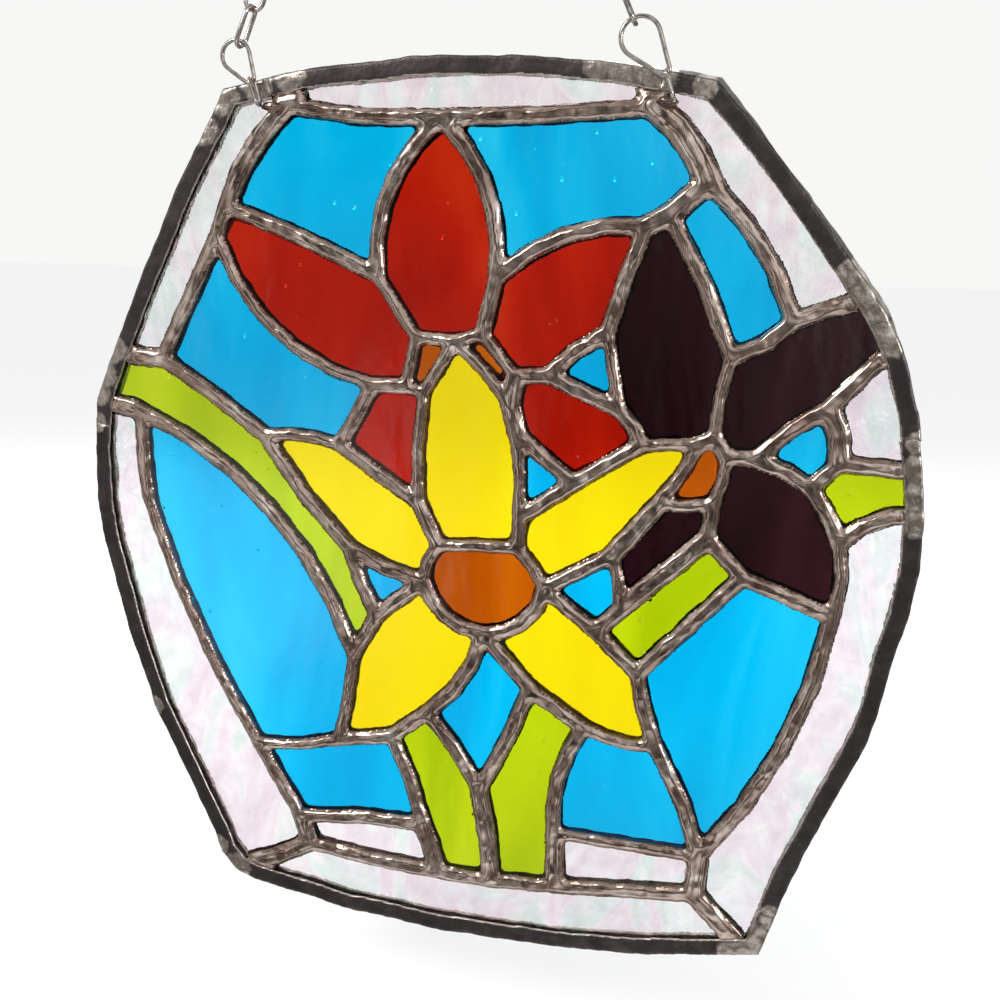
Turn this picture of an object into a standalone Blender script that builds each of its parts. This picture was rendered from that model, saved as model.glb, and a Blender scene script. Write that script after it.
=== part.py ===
"""Stained glass panel: foiled and soldered glass in a lead edge, hung on two chains.

The panel stands in the XZ plane, its front faces -Y, and +Z is up. The origin is the point
inside the top ring where a hook bears, so the whole panel hangs below it.
"""
import math

import bmesh
import bpy
from mathutils import Matrix, Vector

MM = 0.001

# Driving sizes, in millimetres
PANEL_WIDTH = 241.5
PANEL_HEIGHT = 255.5
GLASS_THICKNESS = 3.0
BEAD_CROWN = 1.0
FIT_GAP = 0.3
HEART_WIDTH = 1.0
CAME_FACE = 5.0
CAME_WALL = 1.0
CAME_FLANGE = 1.0
CAME_LEAN = 1.6
BUTT_GAP = 0.6
EYE_WIRE = 1.0
EYE_LENGTH = 8.6
EYE_HOLE = 2.6
RING_WIRE = 1.2
RING_TIP = EYE_WIRE + 2 * RING_WIRE + 4 * FIT_GAP
LINK_WIRE = 1.3
LINK_LENGTH = 13.0
LINK_WIDTH = 6.6
LINK_COUNT = 13
LINK_OVERLAP = 0.25
HOOK_RING_WIRE = 1.8
HOOK_RING_WIDTH = 16.0
ARC_TOLERANCE = 0.35
RIM_STEP = 4.0

# The cartoon below is drawn on a sheet of this size, in millimetres from its centre
SHEET_WIDTH = 241.5
SHEET_HEIGHT = 255.5

# Corners of the outer edge, and the point that each edge curves through on its way to the next
EDGE = [
    ("top_left", (-76, 119.5), (-8, 127.8)),
    ("top_right", (61, 120.5), (84.5, 93.2)),
    ("right_high", (105.6, 64.4), (114.5, 46)),
    ("right_mid", (118.8, 24.7), (120.4, -2)),
    ("right_low", (115.6, -28.9), (111.8, -50)),
    ("right_foot", (103.8, -69.5), (94.4, -93)),
    ("bottom_right", (87, -119), (7.5, -127.6)),
    ("bottom_left", (-70, -120.2), (-78.6, -115.4)),
    ("left_foot", (-83.5, -105.8), (-93.6, -85.5)),
    ("left_low", (-103.5, -65.8), (-112, -40)),
    ("left_mid", (-118.9, -14.4), (-121.1, 8)),
    ("left_high", (-119.6, 30.2), (-95, 85.5)),
]

# Places on the edge where solder lines run out to the came
RIM = {
    "rim_top_left": (-54, 124), "rim_top_right": (42, 123), "rim_petal_high": (103, 67),
    "rim_petal_low": (109, 55), "rim_leaf_high": (118, 22.5), "rim_leaf_low": (119, 12),
    "rim_foot_right": (82, -117), "rim_foot_left": (-75, -116), "rim_left_low": (-118, 29.5),
    "rim_left_high": (-113, 44),
}

# Points where the solder lines meet
JOINTS = {
    "shoulder_left": (-57.5, 115), "shoulder_right": (45.5, 114),
    "shoulder_low_right": (60, 95.5), "sky_left_low": (-76.5, 87.5),
    "sky_left_point": (-30.5, 69.3), "sky_right_point": (3.8, 69.3),
    "red_top_tip": (-12.5, 111.7), "red_left_tip": (-79.5, 79.5), "red_right_tip": (44.5, 84),
    "red_fork_left": (-31.5, 38.5), "red_low_left_tip": (-41.5, 20.3),
    "red_low_left_foot": (-17.5, 5), "red_right_low": (35.5, 56),
    "red_low_right_tip": (46, 25.8),
    "heart_left": (-19, 52.5), "heart_top": (-7.5, 52), "heart_right": (0.5, 54),
    "heart_fork_right": (10, 42.8), "heart_low_right": (9, 34.5),
    "heart_fork_left": (-21.5, 38.5), "heart_low_left": (-16.5, 37),
    "leaf_left_top": (-98, 43), "leaf_left_foot": (-105.5, 27), "left_waist": (-104, 0),
    "yellow_left_tip": (-65.5, 22), "yellow_fork_left": (-38.8, -10),
    "leaf_foot_right": (-30, -29.8), "leaf_foot_left": (-37.3, -42.5),
    "yellow_low_left_tip": (-41.8, -70), "yellow_low_right_tip": (54, -60.3),
    "purple_top": (50.5, 87), "purple_fork": (68.5, 50.5), "sky_strip_low": (84, 60.3),
    "sky_chip_left": (19.5, 43.5), "sky_chip_low": (39.5, 35),
    "chip_low_right": (27.5, 14), "chip_low_top": (11.3, 26.5), "chip_low_foot": (12.5, 3),
    "centre_top_left": (-11.5, -7), "centre_top_right": (12, -6),
    "centre_right": (20.3, -17), "centre_low": (2.5, -32), "centre_left": (-15.5, -18),
    "chip_right_top": (39.5, -5.5), "chip_right_side": (42.3, -21),
    "chip_right_foot": (35.5, -28), "leaf_right_foot": (47.8, -39.3),
    "leaf_right_top": (75.3, -8.8),
    "purple_low_left_top": (51.5, 10), "purple_low_fork": (65.3, 1.3),
    "orange_top": (61.5, 27), "purple_heart_top": (65.5, 29),
    "purple_heart_right": (69, 24), "purple_heart_low": (66, 11),
    "purple_right_low": (99.5, -17.5),
    "sky_small_left": (76.5, 23.8), "sky_small_foot": (91.5, 17),
    "sky_small_right": (98, 23.8), "sky_small_top": (94.5, 38.5),
    "leaf_small_foot": (99.8, 2.8),
    "foot_left_high": (-68.5, -74.5), "foot_left_mid": (-54.5, -96.8),
    "foot_left": (-51.5, -105.5), "foot_right_high": (68, -92), "foot_right": (67.3, -104),
    "stem_left_top_left": (-25, -67), "stem_left_top": (-13.8, -58),
    "stem_left_sill": (-15, -94), "stem_left_foot": (-10, -108.8),
    "stems_fork": (2.5, -80.5), "stems_foot": (7, -109),
    "stem_right_top": (17, -47.3), "stem_right_top_right": (33.3, -57.3),
    "stem_right_sill": (25.7, -91), "stem_right_foot": (26.5, -107.8),
}

# Widths of the solder beads
THIN, PLAIN, WIDE, BROAD = 3.4, 4.3, 5.6, 7.0

# Solder lines: the two ends, the bead's width, and a point that a curved line passes through
SEAMS = [
    ("rim_top_left", "shoulder_left", BROAD), ("shoulder_left", "red_top_tip", PLAIN, (-36, 112.2)),
    ("red_top_tip", "shoulder_right", PLAIN, (14, 112.2)), ("shoulder_right", "rim_top_right", BROAD),
    ("shoulder_left", "sky_left_low", WIDE, (-68, 103.5)), ("sky_left_low", "red_left_tip", PLAIN),
    ("red_left_tip", "leaf_left_top", PLAIN), ("leaf_left_top", "rim_left_high", WIDE),
    ("leaf_left_top", "yellow_left_tip", PLAIN, (-82, 33.3)),
    ("rim_left_low", "leaf_left_foot", WIDE),
    ("leaf_left_foot", "leaf_foot_left", PLAIN, (-64, 0)),
    ("leaf_left_foot", "left_waist", PLAIN, (-105.3, 13.5)),
    ("left_waist", "foot_left_high", THIN, (-88.7, -38.5)),
    ("yellow_left_tip", "red_low_left_tip", THIN, (-53, 22.6)),
    ("yellow_left_tip", "yellow_fork_left", PLAIN, (-53, 5)),
    ("yellow_fork_left", "leaf_foot_right", PLAIN, (-35, -20.3)),
    ("leaf_foot_right", "leaf_foot_left", PLAIN),
    ("leaf_foot_left", "yellow_low_left_tip", THIN, (-39, -56)),
    ("foot_left_high", "yellow_low_left_tip", THIN, (-55, -73.4)),
    ("yellow_low_left_tip", "stem_left_top_left", PLAIN, (-33, -68.3)),
    ("stem_left_top_left", "stem_left_top", PLAIN), ("stem_left_top", "centre_low", PLAIN, (-3, -46.2)),
    ("centre_low", "stem_right_top", PLAIN), ("stem_left_top", "stems_fork", PLAIN, (-5, -68.8)),
    ("stems_fork", "stem_right_top", PLAIN, (10.6, -64.2)),
    ("stem_left_top_left", "stem_left_sill", PLAIN, (-18.9, -80)),
    ("stem_left_sill", "stem_left_foot", WIDE, (-12, -101.5)),
    ("foot_left_mid", "stem_left_sill", PLAIN, (-35, -94.3)),
    ("foot_left_high", "foot_left_mid", PLAIN), ("foot_left_mid", "foot_left", WIDE),
    ("foot_left", "stem_left_foot", PLAIN, (-31, -107.7)), ("stem_left_foot", "stems_foot", PLAIN),
    ("stems_foot", "stem_right_foot", PLAIN), ("stem_right_foot", "foot_right", PLAIN, (47, -106)),
    ("stems_fork", "stems_foot", WIDE, (5.2, -93.5)), ("stem_right_sill", "stem_right_foot", WIDE),
    ("stem_right_top_right", "stem_right_sill", PLAIN, (26.3, -73.5)),
    ("stem_right_top", "stem_right_top_right", PLAIN),
    ("stem_right_top_right", "yellow_low_right_tip", THIN, (44, -60.3)),
    ("yellow_low_right_tip", "foot_right_high", PLAIN, (62.3, -75.7)),
    ("stem_right_sill", "foot_right_high", THIN, (46, -91.6)), ("foot_right_high", "foot_right", WIDE),
    ("foot_right", "rim_foot_right", WIDE), ("foot_left", "rim_foot_left", WIDE, (-63, -111.8)),
    ("foot_right_high", "purple_right_low", PLAIN, (89, -56.5)),
    ("purple_right_low", "leaf_small_foot", THIN, (101, -7)),
    ("purple_right_low", "leaf_right_top", PLAIN), ("leaf_right_top", "leaf_right_foot", PLAIN),
    ("leaf_right_top", "purple_low_fork", PLAIN), ("purple_low_fork", "chip_right_side", WIDE),
    ("chip_right_side", "chip_right_foot", PLAIN), ("chip_right_foot", "leaf_right_foot", PLAIN),
    ("leaf_right_foot", "yellow_low_right_tip", PLAIN, (50.3, -50)),
    ("centre_right", "chip_right_foot", PLAIN, (28.5, -23.2)), ("centre_right", "chip_right_top", PLAIN),
    ("chip_right_top", "chip_right_side", THIN, (41.5, -13)),
    ("chip_right_top", "purple_low_left_top", WIDE),
    ("purple_low_left_top", "orange_top", THIN, (57, 17.8)),
    ("purple_low_left_top", "purple_heart_low", THIN, (59, 9.7)),
    ("purple_heart_low", "purple_low_fork", PLAIN), ("purple_heart_low", "purple_heart_right", THIN, (68.3, 17)),
    ("orange_top", "purple_heart_top", PLAIN), ("purple_heart_top", "purple_heart_right", PLAIN),
    ("purple_heart_top", "purple_fork", THIN, (66.3, 40)), ("purple_heart_right", "sky_small_left", PLAIN),
    ("sky_small_left", "sky_small_foot", PLAIN, (84.5, 21)), ("sky_small_foot", "sky_small_right", PLAIN),
    ("sky_small_right", "sky_small_top", WIDE, (97.5, 31.5)),
    ("sky_small_left", "sky_small_top", PLAIN, (85.2, 32.3)),
    ("sky_small_top", "rim_petal_low", PLAIN, (101.3, 46.5)),
    ("sky_small_right", "rim_leaf_high", PLAIN, (106, 23.8)),
    ("sky_small_foot", "leaf_small_foot", PLAIN, (96.3, 10)),
    ("leaf_small_foot", "rim_leaf_low", PLAIN, (107, 8.8)),
    ("purple_fork", "sky_strip_low", PLAIN, (76, 53.8)),
    ("sky_strip_low", "rim_petal_high", PLAIN, (93, 64.2)),
    ("sky_strip_low", "shoulder_low_right", PLAIN, (74.6, 79.6)),
    ("shoulder_low_right", "purple_top", WIDE), ("purple_top", "purple_fork", PLAIN, (60.6, 69.3)),
    ("red_right_tip", "purple_top", WIDE), ("red_right_tip", "red_right_low", PLAIN, (39.4, 69.8)),
    ("red_right_low", "sky_chip_low", THIN, (37.2, 46)),
    ("red_right_low", "sky_chip_left", PLAIN, (27.3, 51)),
    ("sky_chip_left", "heart_fork_right", PLAIN), ("sky_chip_left", "sky_chip_low", PLAIN, (29.8, 38.8)),
    ("sky_chip_low", "red_low_right_tip", PLAIN, (43.3, 31)),
    ("red_low_right_tip", "orange_top", THIN, (53, 26)),
    ("red_low_right_tip", "chip_low_right", PLAIN), ("chip_low_right", "chip_low_top", PLAIN),
    ("chip_low_right", "chip_low_foot", PLAIN), ("chip_low_top", "chip_low_foot", THIN, (12.3, 14)),
    ("chip_low_foot", "centre_top_right", PLAIN), ("chip_low_top", "heart_low_right", WIDE),
    ("heart_low_right", "heart_fork_right", WIDE), ("heart_low_right", "heart_top", THIN, (1.6, 43.6)),
    ("heart_right", "heart_fork_right", THIN), ("heart_top", "heart_right", THIN),
    ("heart_left", "heart_top", THIN), ("heart_top", "heart_low_left", THIN),
    ("heart_left", "heart_fork_left", THIN), ("heart_fork_left", "heart_low_left", THIN),
    ("heart_fork_left", "red_fork_left", PLAIN), ("red_fork_left", "red_left_tip", THIN, (-61, 52.2)),
    ("red_fork_left", "red_low_left_tip", PLAIN), ("red_low_left_tip", "red_low_left_foot", PLAIN),
    ("heart_low_left", "red_low_left_foot", THIN, (-18, 22)),
    ("red_low_left_foot", "centre_top_left", PLAIN, (-14.3, -1)),
    ("centre_top_left", "centre_top_right", THIN, (0.5, -6)),
    ("centre_top_right", "centre_right", THIN, (17, -11.3)),
    ("centre_right", "centre_low", PLAIN, (14.8, -27.3)), ("centre_low", "centre_left", PLAIN, (-9, -28)),
    ("centre_left", "centre_top_left", THIN, (-14.6, -12)),
    ("centre_left", "yellow_fork_left", PLAIN, (-27, -15.3)),
    ("centre_left", "leaf_foot_right", PLAIN, (-23.5, -24.8)),
    ("red_top_tip", "sky_left_point", PLAIN, (-27.3, 92.5)),
    ("red_top_tip", "sky_right_point", PLAIN, (0.9, 92.5)),
    ("sky_left_point", "heart_left", THIN), ("sky_right_point", "heart_right", PLAIN),
    ("sky_right_point", "red_right_tip", PLAIN, (22.7, 81.2)),
    ("sky_left_low", "sky_left_point", PLAIN, (-53.2, 79.2)),
    ("shoulder_right", "shoulder_low_right", BROAD, (54.5, 105.3)),
]

# Glass: colour, roughness, and how much light passes
GLASS_FINISH = {
    "blue": ((0.0, 0.45, 0.86), 0.05), "red": ((0.48, 0.01, 0.005), 0.06),
    "yellow": ((0.93, 0.78, 0.0), 0.2), "orange": ((0.56, 0.13, 0.0), 0.1),
    "purple": ((0.035, 0.006, 0.012), 0.08), "green": ((0.56, 0.72, 0.01), 0.08),
    "clear": ((0.86, 0.86, 0.85), 0.03),
}

# Each pane: its colour, and a point inside it on the cartoon
PANES = {
    "blue_sky_top_left": ("blue", (-45, 95)), "blue_sky_top_right": ("blue", (25, 98)),
    "blue_strip_right": ("blue", (68, 70)), "blue_sky_left": ("blue", (-75, 50)),
    "blue_field_left": ("blue", (-75, -30)), "blue_chip_upper": ("blue", (31, 46)),
    "blue_chip_middle": ("blue", (17, 14)), "blue_chip_left": ("blue", (-29, -19)),
    "blue_chip_right": ("blue", (35, -17)), "blue_wedge": ("blue", (2, -58)),
    "blue_foot_left": ("blue", (-42, -82)), "blue_foot_right": ("blue", (45, -76)),
    "blue_field_right": ("blue", (75, -45)), "blue_chip_side": ("blue", (88, 26)),
    "red_petal_top": ("red", (-13, 80)), "red_petal_left": ("red", (-50, 60)),
    "red_petal_right": ("red", (20, 65)), "red_petal_low_left": ("red", (-26, 22)),
    "red_petal_low_right": ("red", (26, 28)),
    "orange_heart_left": ("orange", (-16, 45)), "orange_heart_right": ("orange", (4, 46)),
    "orange_centre": ("orange", (2, -18)), "orange_purple_heart": ("orange", (63, 18)),
    "yellow_petal_top": ("yellow", (-3, 18)), "yellow_petal_left": ("yellow", (-38, 5)),
    "yellow_petal_right": ("yellow", (34, 8)), "yellow_petal_low_left": ("yellow", (-22, -45)),
    "yellow_petal_low_right": ("yellow", (33, -43)),
    "purple_petal_top": ("purple", (52, 52)), "purple_petal_right": ("purple", (88, 47)),
    "purple_petal_low": ("purple", (84, 3)), "purple_petal_small": ("purple", (54, -3)),
    "green_leaf_left": ("green", (-75, 20)), "green_stem_left": ("green", (-8, -82)),
    "green_stem_right": ("green", (16, -82)), "green_leaf_middle": ("green", (57, -20)),
    "green_leaf_right": ("green", (104, 16)),
    "clear_edge_top": ("clear", (-5, 118)), "clear_edge_left_high": ("clear", (-92, 75)),
    "clear_edge_left_low": ("clear", (-98, -45)), "clear_edge_bottom": ("clear", (5, -116)),
    "clear_foot_left": ("clear", (-32, -101)), "clear_foot_right": ("clear", (48, -99)),
    "clear_edge_right_low": ("clear", (95, -65)), "clear_edge_right_mid": ("clear", (107, 33)),
    "clear_edge_right_high": ("clear", (78, 92)),
}

# Came strips: name, and the cartoon points near which each one starts and ends, clockwise
CAME_STRIPS = {
    "came_top": ((-70, 121), (52, 122)),
    "came_right_high": ((52, 122), (116.6, 36)),
    "came_right_low": ((116.6, 36), (87, -119)),
    "came_bottom": ((87, -119), (-119.8, 29)),
    "came_left_high": ((-119.8, 29), (-70, 121)),
}

# Where the came's wall leans outwards at the back: a point on the edge, and the reach each way
LEANS = [((56, 121.5), 30.0), ((-62, 122), 24.0), ((100, 72), 26.0)]

# The two wire eyes: where each is soldered on and which way it points. Then its ring: the way its
# narrow end lies from its wide end, the wide end's width, and the reach between the two ends
EYES = {
    "left": ((-63.8, 114.2), (-0.30, 0.95), (0.55, -0.83), 9.4, 7.0),
    "right": ((50.6, 115.0), (-0.30, 0.95), (0.62, -0.78), 11.4, 10.0),
}

HALF_GLASS = GLASS_THICKNESS / 2
HALF_PANEL = HALF_GLASS + FIT_GAP + BEAD_CROWN
HALF_CAME = HALF_GLASS + FIT_GAP + CAME_FLANGE
SPREAD = (PANEL_WIDTH / SHEET_WIDTH, PANEL_HEIGHT / SHEET_HEIGHT)
LINK_SIDES = 8
LINK_ROUND = (LINK_WIDTH - LINK_WIRE) / 2
LINK_END = (LINK_LENGTH - LINK_WIDTH) / 2 + LINK_ROUND * math.cos(math.pi / LINK_SIDES)
LINK_PITCH = 2 * LINK_END - LINK_WIRE + LINK_OVERLAP


def placed(point):
    """A point of the cartoon, moved to the panel's own size."""
    return Vector((point[0] * SPREAD[0], point[1] * SPREAD[1]))


def arc_points(start, via, end):
    """Points from start to end on the circle through via, as few as the tolerance allows."""
    chord = end - start
    across = Vector((-chord.y, chord.x)).normalized()
    rise = (via - (start + end) / 2).dot(across)
    if abs(rise) < ARC_TOLERANCE:
        return [start, end]
    half = chord.length / 2
    radius = (half * half + rise * rise) / (2 * rise)
    centre = (start + end) / 2 + across * (rise - radius)
    sweep = 4 * math.atan(rise / half)
    count = max(2, math.ceil(math.sqrt(abs(rise) / ARC_TOLERANCE)))
    spoke = start - centre
    points = [start]
    for step in range(1, count):
        turn = Matrix.Rotation(-sweep * step / count, 2)
        points.append(centre + turn @ spoke)
    return points + [end]


def edge_loop():
    """The outer edge of the panel, clockwise from the top left corner."""
    loop = []
    for index, (name, corner, via) in enumerate(EDGE):
        following = EDGE[(index + 1) % len(EDGE)][1]
        loop += arc_points(placed(corner), placed(via), placed(following))[:-1]
    return loop


def inset_loop(loop, reaches):
    """A closed loop moved to its right-hand side by a reach for each of its sides."""
    moved = []
    count = len(loop)
    for index in range(count):
        before, here, after = loop[index - 1], loop[index], loop[(index + 1) % count]
        side_in, side_out = (here - before).normalized(), (after - here).normalized()
        normal_in = Vector((side_in.y, -side_in.x))
        normal_out = Vector((side_out.y, -side_out.x))
        reach_in, reach_out = reaches[index - 1], reaches[index]
        turn = side_in.x * side_out.y - side_in.y * side_out.x
        if abs(turn) < 0.08:
            moved.append(here + (normal_in + normal_out).normalized() * (reach_in + reach_out) / 2)
            continue
        corner = here + normal_in * reach_in
        other = here + normal_out * reach_out
        along = (other - corner).cross(side_out) / side_in.cross(side_out)
        moved.append(corner + side_in * along)
    return moved


def nearest_on_loop(loop, point):
    """The side of the loop that is nearest to a point, and the nearest place on it."""
    best = None
    for index, start in enumerate(loop):
        end = loop[(index + 1) % len(loop)]
        side = end - start
        share = max(0.0, min(1.0, (point - start).dot(side) / side.length_squared))
        place = start + side * share
        gap = (place - point).length
        if best is None or gap < best[0]:
            best = (gap, index, share, place)
    return best[1:]


def side_middle(loop, point):
    """The middle of the loop's side that is nearest to a point."""
    index = nearest_on_loop(loop, point)[0]
    return index, 0.5, (loop[index] + loop[(index + 1) % len(loop)]) / 2


def rim_stretch(loop, start, end):
    """The stretch of a closed loop between two places on it, clockwise."""
    points = [start[2]]
    index = start[0]
    while index != end[0] or (index == start[0] and end[1] < start[1] and len(points) == 1):
        index = (index + 1) % len(loop)
        if (points[-1] - loop[index]).length > RIM_STEP:
            points.append(loop[index])
    if (points[-1] - end[2]).length < RIM_STEP and len(points) > 1:
        points.pop()
    return points + [end[2]]


def cartoon_lines():
    """Every line of the cartoon in both directions: (from, to) gives its points and width."""
    edge = edge_loop()
    glass_line = inset_loop(edge, [CAME_WALL + FIT_GAP] * len(edge))
    spots = {name: nearest_on_loop(glass_line, placed(at)) for name, at in RIM.items()}
    places = {name: placed(at) for name, at in JOINTS.items()}
    places.update({name: spot[2] for name, spot in spots.items()})
    lines = {}
    for start, end, width, *via in SEAMS:
        if via:
            points = arc_points(places[start], placed(via[0]), places[end])
        else:
            points = [places[start], places[end]]
        lines[start, end] = (points, width)
        lines[end, start] = (points[::-1], width)
    order = sorted(spots, key=lambda name: (spots[name][0], spots[name][1]))
    for index, start in enumerate(order):
        end = order[(index + 1) % len(order)]
        points = rim_stretch(glass_line, spots[start], spots[end])
        lines[start, end] = (points, 0.0)
        lines[end, start] = (points[::-1], 0.0)
    return lines


def trace_faces(lines):
    """Walk round every face of the cartoon and give each as a list of its lines' ends."""
    leaving = {}
    for (start, end), (points, width) in lines.items():
        way = points[1] - points[0]
        leaving.setdefault(start, []).append((math.atan2(way.y, way.x), end))
    for ends in leaving.values():
        ends.sort()
    faces, walked = [], set()
    for line in lines:
        if line in walked:
            continue
        face, step = [], line
        while step not in walked:
            walked.add(step)
            face.append(step)
            start, end = step
            names = [name for angle, name in leaving[end]]
            step = (end, names[(names.index(start) + 1) % len(names)])
        faces.append(face)
    return faces


def holds(outline, point):
    """Whether a point lies inside a closed outline."""
    inside = False
    for index, here in enumerate(outline):
        before = outline[index - 1]
        if (here.y > point.y) != (before.y > point.y):
            crossing = before.x + (point.y - before.y) * (here.x - before.x) / (here.y - before.y)
            if point.x < crossing:
                inside = not inside
    return inside


def signed_area(outline):
    """The area of an outline, above zero where it runs anticlockwise."""
    return sum(outline[i - 1].cross(outline[i]) for i in range(len(outline))) / 2


def pane_faces():
    """Each pane's name with its outline on the cartoon's lines, clockwise, and its bead widths."""
    lines = cartoon_lines()
    faces = []
    for face in trace_faces(lines):
        outline, widths = [], []
        for step in face:
            points, width = lines[step]
            outline += points[:-1]
            widths += [width] * (len(points) - 1)
        if signed_area(outline) < 0 and abs(signed_area(outline)) < PANEL_WIDTH * PANEL_HEIGHT / 2:
            faces.append((outline, widths))
    found = {}
    for name, (colour, seed) in PANES.items():
        spot = placed(seed)
        for outline, widths in faces:
            if holds(outline, spot):
                found[name] = (outline, widths)
    return found


def new_object(name, mesh, collection):
    """An object of the model in its collection."""
    item = bpy.data.objects.new(name, mesh)
    collection.objects.link(item)
    return item


def material(name, colour, roughness, metallic=0.0):
    """A Principled material."""
    made = bpy.data.materials.new(name)
    made.use_nodes = True
    shader = made.node_tree.nodes["Principled BSDF"]
    shader.inputs["Base Color"].default_value = (*colour, 1.0)
    shader.inputs["Roughness"].default_value = roughness
    shader.inputs["Metallic"].default_value = metallic
    return made


def in_world(point, depth):
    """A panel point in metres, at a depth behind the panel's middle plane."""
    return Vector((point.x - HANG_POINT.x, depth, point.y - HANG_POINT.y)) * MM


def prism(mesh, loops_and_depths):
    """Add a closed solid whose stacked loops run from the front of the panel to its back."""
    rings = [[mesh.verts.new(in_world(point, depth)) for point in loop] for loop, depth in loops_and_depths]
    count = len(rings[0])
    mesh.faces.new(rings[0][::-1])
    mesh.faces.new(rings[-1])
    for near, far in zip(rings, rings[1:]):
        for index in range(count):
            after = (index + 1) % count
            mesh.faces.new((near[index], near[after], far[after], far[index]))


def solid_from(name, stacks, collection):
    """An object made of one prism for each stack of loops."""
    work = bmesh.new()
    for stack in stacks:
        prism(work, stack)
    bmesh.ops.recalc_face_normals(work, faces=work.faces)
    mesh = bpy.data.meshes.new(name)
    work.to_mesh(mesh)
    work.free()
    return new_object(name, mesh, collection)


def add_panes(faces, collection):
    """The panes of glass, each cut smaller than its place by half the heart of the solder."""
    for name, (outline, widths) in faces.items():
        colour = PANES[name][0]
        reaches = [HEART_WIDTH / 2 + FIT_GAP if width else 0.0 for width in widths]
        cut = inset_loop(outline, reaches)
        pane = solid_from(name, [[(cut, -HALF_GLASS), (cut, HALF_GLASS)]], collection)
        tint, roughness = GLASS_FINISH[colour]
        pane.data.materials.append(material("glass_" + name, tint, roughness))


def add_solder(faces, collection, cutters):
    """The soldered joints: a plate inside the came, with a pocket and a window for each pane."""
    edge = edge_loop()
    rim = inset_loop(edge, [CAME_FACE + FIT_GAP] * len(edge))
    plate = solid_from("solder_lines", [[(rim, -HALF_PANEL), (rim, HALF_PANEL)]], collection)
    beyond = HALF_PANEL + BEAD_CROWN
    pocket_depth = HALF_GLASS + FIT_GAP
    windows, pockets = [], []
    for outline, widths in faces.values():
        sight = inset_loop(outline, [width / 2 for width in widths])
        crown = inset_loop(outline, [width * 0.26 for width in widths])
        pocket = inset_loop(outline, [HEART_WIDTH / 2 if width else -CAME_WALL for width in widths])
        windows.append([(crown, -beyond), (sight, -pocket_depth), (sight, pocket_depth), (crown, beyond)])
        pockets.append([(pocket, -pocket_depth), (pocket, pocket_depth)])
    for name, stacks in (("pane_windows", windows), ("pane_pockets", pockets)):
        cutter = solid_from(name, stacks, cutters)
        cutter.hide_render = True
        cutter.display_type = "WIRE"
        cut = plate.modifiers.new(name, "BOOLEAN")
        cut.operation = "DIFFERENCE"
        cut.solver = "EXACT"
        cut.object = cutter
    plate.data.materials.append(material("solder", (0.42, 0.37, 0.33), 0.3, 1.0))


def lean_at(point):
    """How far the came's back edge stands out beyond its front edge near a point."""
    most = 0.0
    for spot, reach in LEANS:
        gap = (point - placed(spot)).length / reach
        most = max(most, CAME_LEAN * max(0.0, 1.0 - gap * gap))
    return most


def came_profile(lean):
    """The U section of the came, as (distance in from the edge, depth) pairs."""
    lip = CAME_FACE
    slot = HALF_GLASS + FIT_GAP
    return [
        (0.0, -HALF_CAME), (lip, -HALF_CAME), (lip, -slot), (CAME_WALL, -slot), (CAME_WALL, slot),
        (lip, slot), (lip, HALF_CAME), (-lean, HALF_CAME),
    ]


def shortened(points, amount):
    """A line of points with its two ends drawn in."""
    first = (points[1] - points[0]).normalized() * amount
    last = (points[-2] - points[-1]).normalized() * amount
    return [points[0] + first] + points[1:-1] + [points[-1] + last]


def add_came(collection):
    """The lead came round the edge, in strips that meet end to end under the solder."""
    edge = edge_loop()
    lead = material("lead_came", (0.06, 0.055, 0.06), 0.5, 1.0)
    for name, (start, end) in CAME_STRIPS.items():
        points = rim_stretch(edge, side_middle(edge, placed(start)), side_middle(edge, placed(end)))
        points = shortened(points, BUTT_GAP / 2)
        work = bmesh.new()
        rings = []
        for index, here in enumerate(points):
            before = points[max(index - 1, 0)]
            after = points[min(index + 1, len(points) - 1)]
            ways = [way.normalized() for way in (here - before, after - here) if way.length > 0]
            way = sum(ways, Vector((0, 0))).normalized()
            inward = Vector((way.y, -way.x)) / max(0.6, way.dot(ways[0]))
            ring = [work.verts.new(in_world(here + inward * reach, depth))
                    for reach, depth in came_profile(lean_at(here))]
            rings.append(ring)
        work.faces.new(rings[0])
        work.faces.new(rings[-1][::-1])
        for near, far in zip(rings, rings[1:]):
            for index in range(len(near)):
                after = (index + 1) % len(near)
                work.faces.new((near[index], far[index], far[after], near[after]))
        bmesh.ops.recalc_face_normals(work, faces=work.faces)
        mesh = bpy.data.meshes.new(name)
        work.to_mesh(mesh)
        work.free()
        new_object(name, mesh, collection).data.materials.append(lead)


def wire_loop(name, points, wire, collection, finish):
    """A closed loop of round wire through points in metres."""
    curve = bpy.data.curves.new(name, "CURVE")
    curve.dimensions = "3D"
    curve.bevel_depth = wire / 2 * MM
    curve.bevel_resolution = 1
    spline = curve.splines.new("POLY")
    spline.points.add(len(points) - 1)
    for knot, point in zip(spline.points, points):
        knot.co = (*point, 1.0)
    spline.use_cyclic_u = True
    loop = new_object(name, curve, collection)
    curve.materials.append(finish)
    return loop


def long_ring(centre, along, across, length, width, count):
    """Points of an oblong loop: two straight sides and two round ends."""
    radius = width / 2
    straight = (length - width) / 2
    points = []
    for step in range(count):
        angle = 2 * math.pi * (step + 0.5) / count
        run = math.copysign(straight, math.cos(angle)) + radius * math.cos(angle)
        points.append(centre + along * run * MM + across * radius * math.sin(angle) * MM)
    return points


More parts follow.
